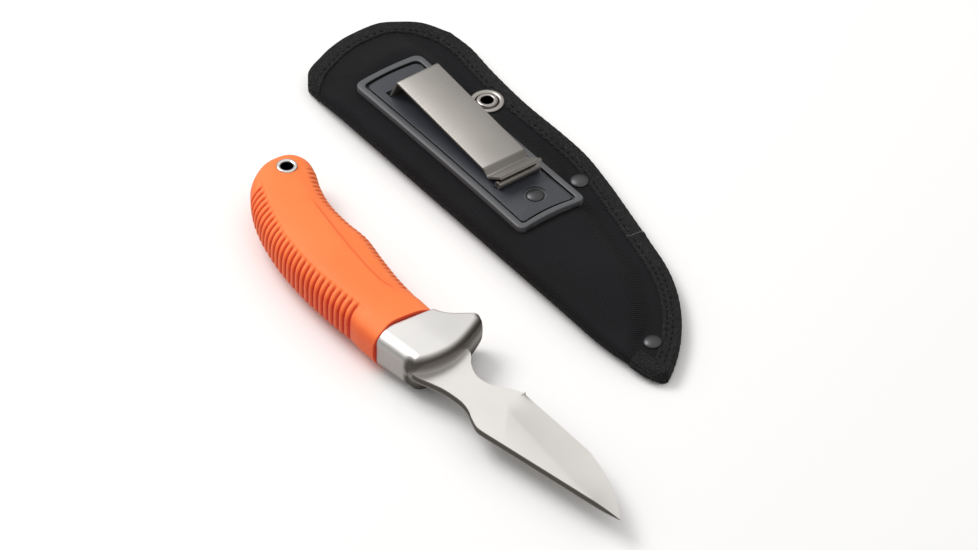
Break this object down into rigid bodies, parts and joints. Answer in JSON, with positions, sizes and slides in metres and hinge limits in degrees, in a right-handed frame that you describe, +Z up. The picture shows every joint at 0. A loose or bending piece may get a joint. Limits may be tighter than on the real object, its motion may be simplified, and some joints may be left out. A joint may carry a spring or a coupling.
{
  "type": "rigging knife with sheath",
  "caption": "Fixed-blade rigging knife with a rubber grip and a swept guard, beside its nylon sheath with a spring belt clip.",
  "frame": {"origin": "centre of the whole layout's footprint, on the surface that it lies on", "axes": "+X along both pieces from the knife's butt and the sheath's mouth to their tips, +Y from the knife towards the sheath, +Z up"},
  "size_m": [0.2874, 0.1382, 0.0213],
  "materials": {
    "blade_steel": "satin",
    "bolster_steel": "brushed",
    "pin_steel": "ground flush",
    "core_plastic": "moulded",
    "grip_rubber": "soft matte",
    "lanyard_steel": "polished",
    "cover_nylon": "ribbed weave",
    "foam": "closed cell",
    "lining_nylon": "plain weave",
    "liner_plastic": "sheet",
    "binding_tape": "grosgrain",
    "thread": "twisted",
    "eyelet_metal": "nickel",
    "rivet_metal": "gunmetal",
    "plate_plastic": "satin",
    "clip_steel": "satin nickel"
  },
  "bodies": {
    "sheath": {"sheath_cover": "cover_nylon", "foam_padding": "foam", "sheath_lining": "lining_nylon", "blade_liner": "liner_plastic", "mouth_binding": "binding_tape", "seam_binding": "binding_tape", "tip_binding": "binding_tape", "binding_thread": "thread", "eyelet_barrel": "eyelet_metal", "eyelet_washer": "eyelet_metal", "seam_rivet_posts": "rivet_metal", "seam_rivet_caps": "rivet_metal", "clip_plate": "plate_plastic", "plate_rivets": "rivet_metal", "plate_rivet_washers": "rivet_metal", "clip_back_leaf": "clip_steel"},
    "knife": {"blade": "blade_steel", "bolster": "bolster_steel", "bolster_pins": "pin_steel", "handle_core": "core_plastic", "core_pins": "pin_steel", "handle_grip": "grip_rubber", "lanyard_tube": "lanyard_steel"},
    "clip_leaf": {"clip_front_leaf": "clip_steel"}
  },
  "joints": [
    {"name": "knife_lift", "type": "slide", "parent": "sheath", "child": "knife", "axis": [0, 0, 1], "range_m": [0, 0.1]},
    {"name": "clip_open", "type": "hinge", "parent": "sheath", "child": "clip_leaf", "pos_m": [-0.09587, 0.03333, 0.02065], "axis": [0, -1, 0], "range_deg": [0, 10], "stiffness_Nm_per_rad": 2}
  ]
}
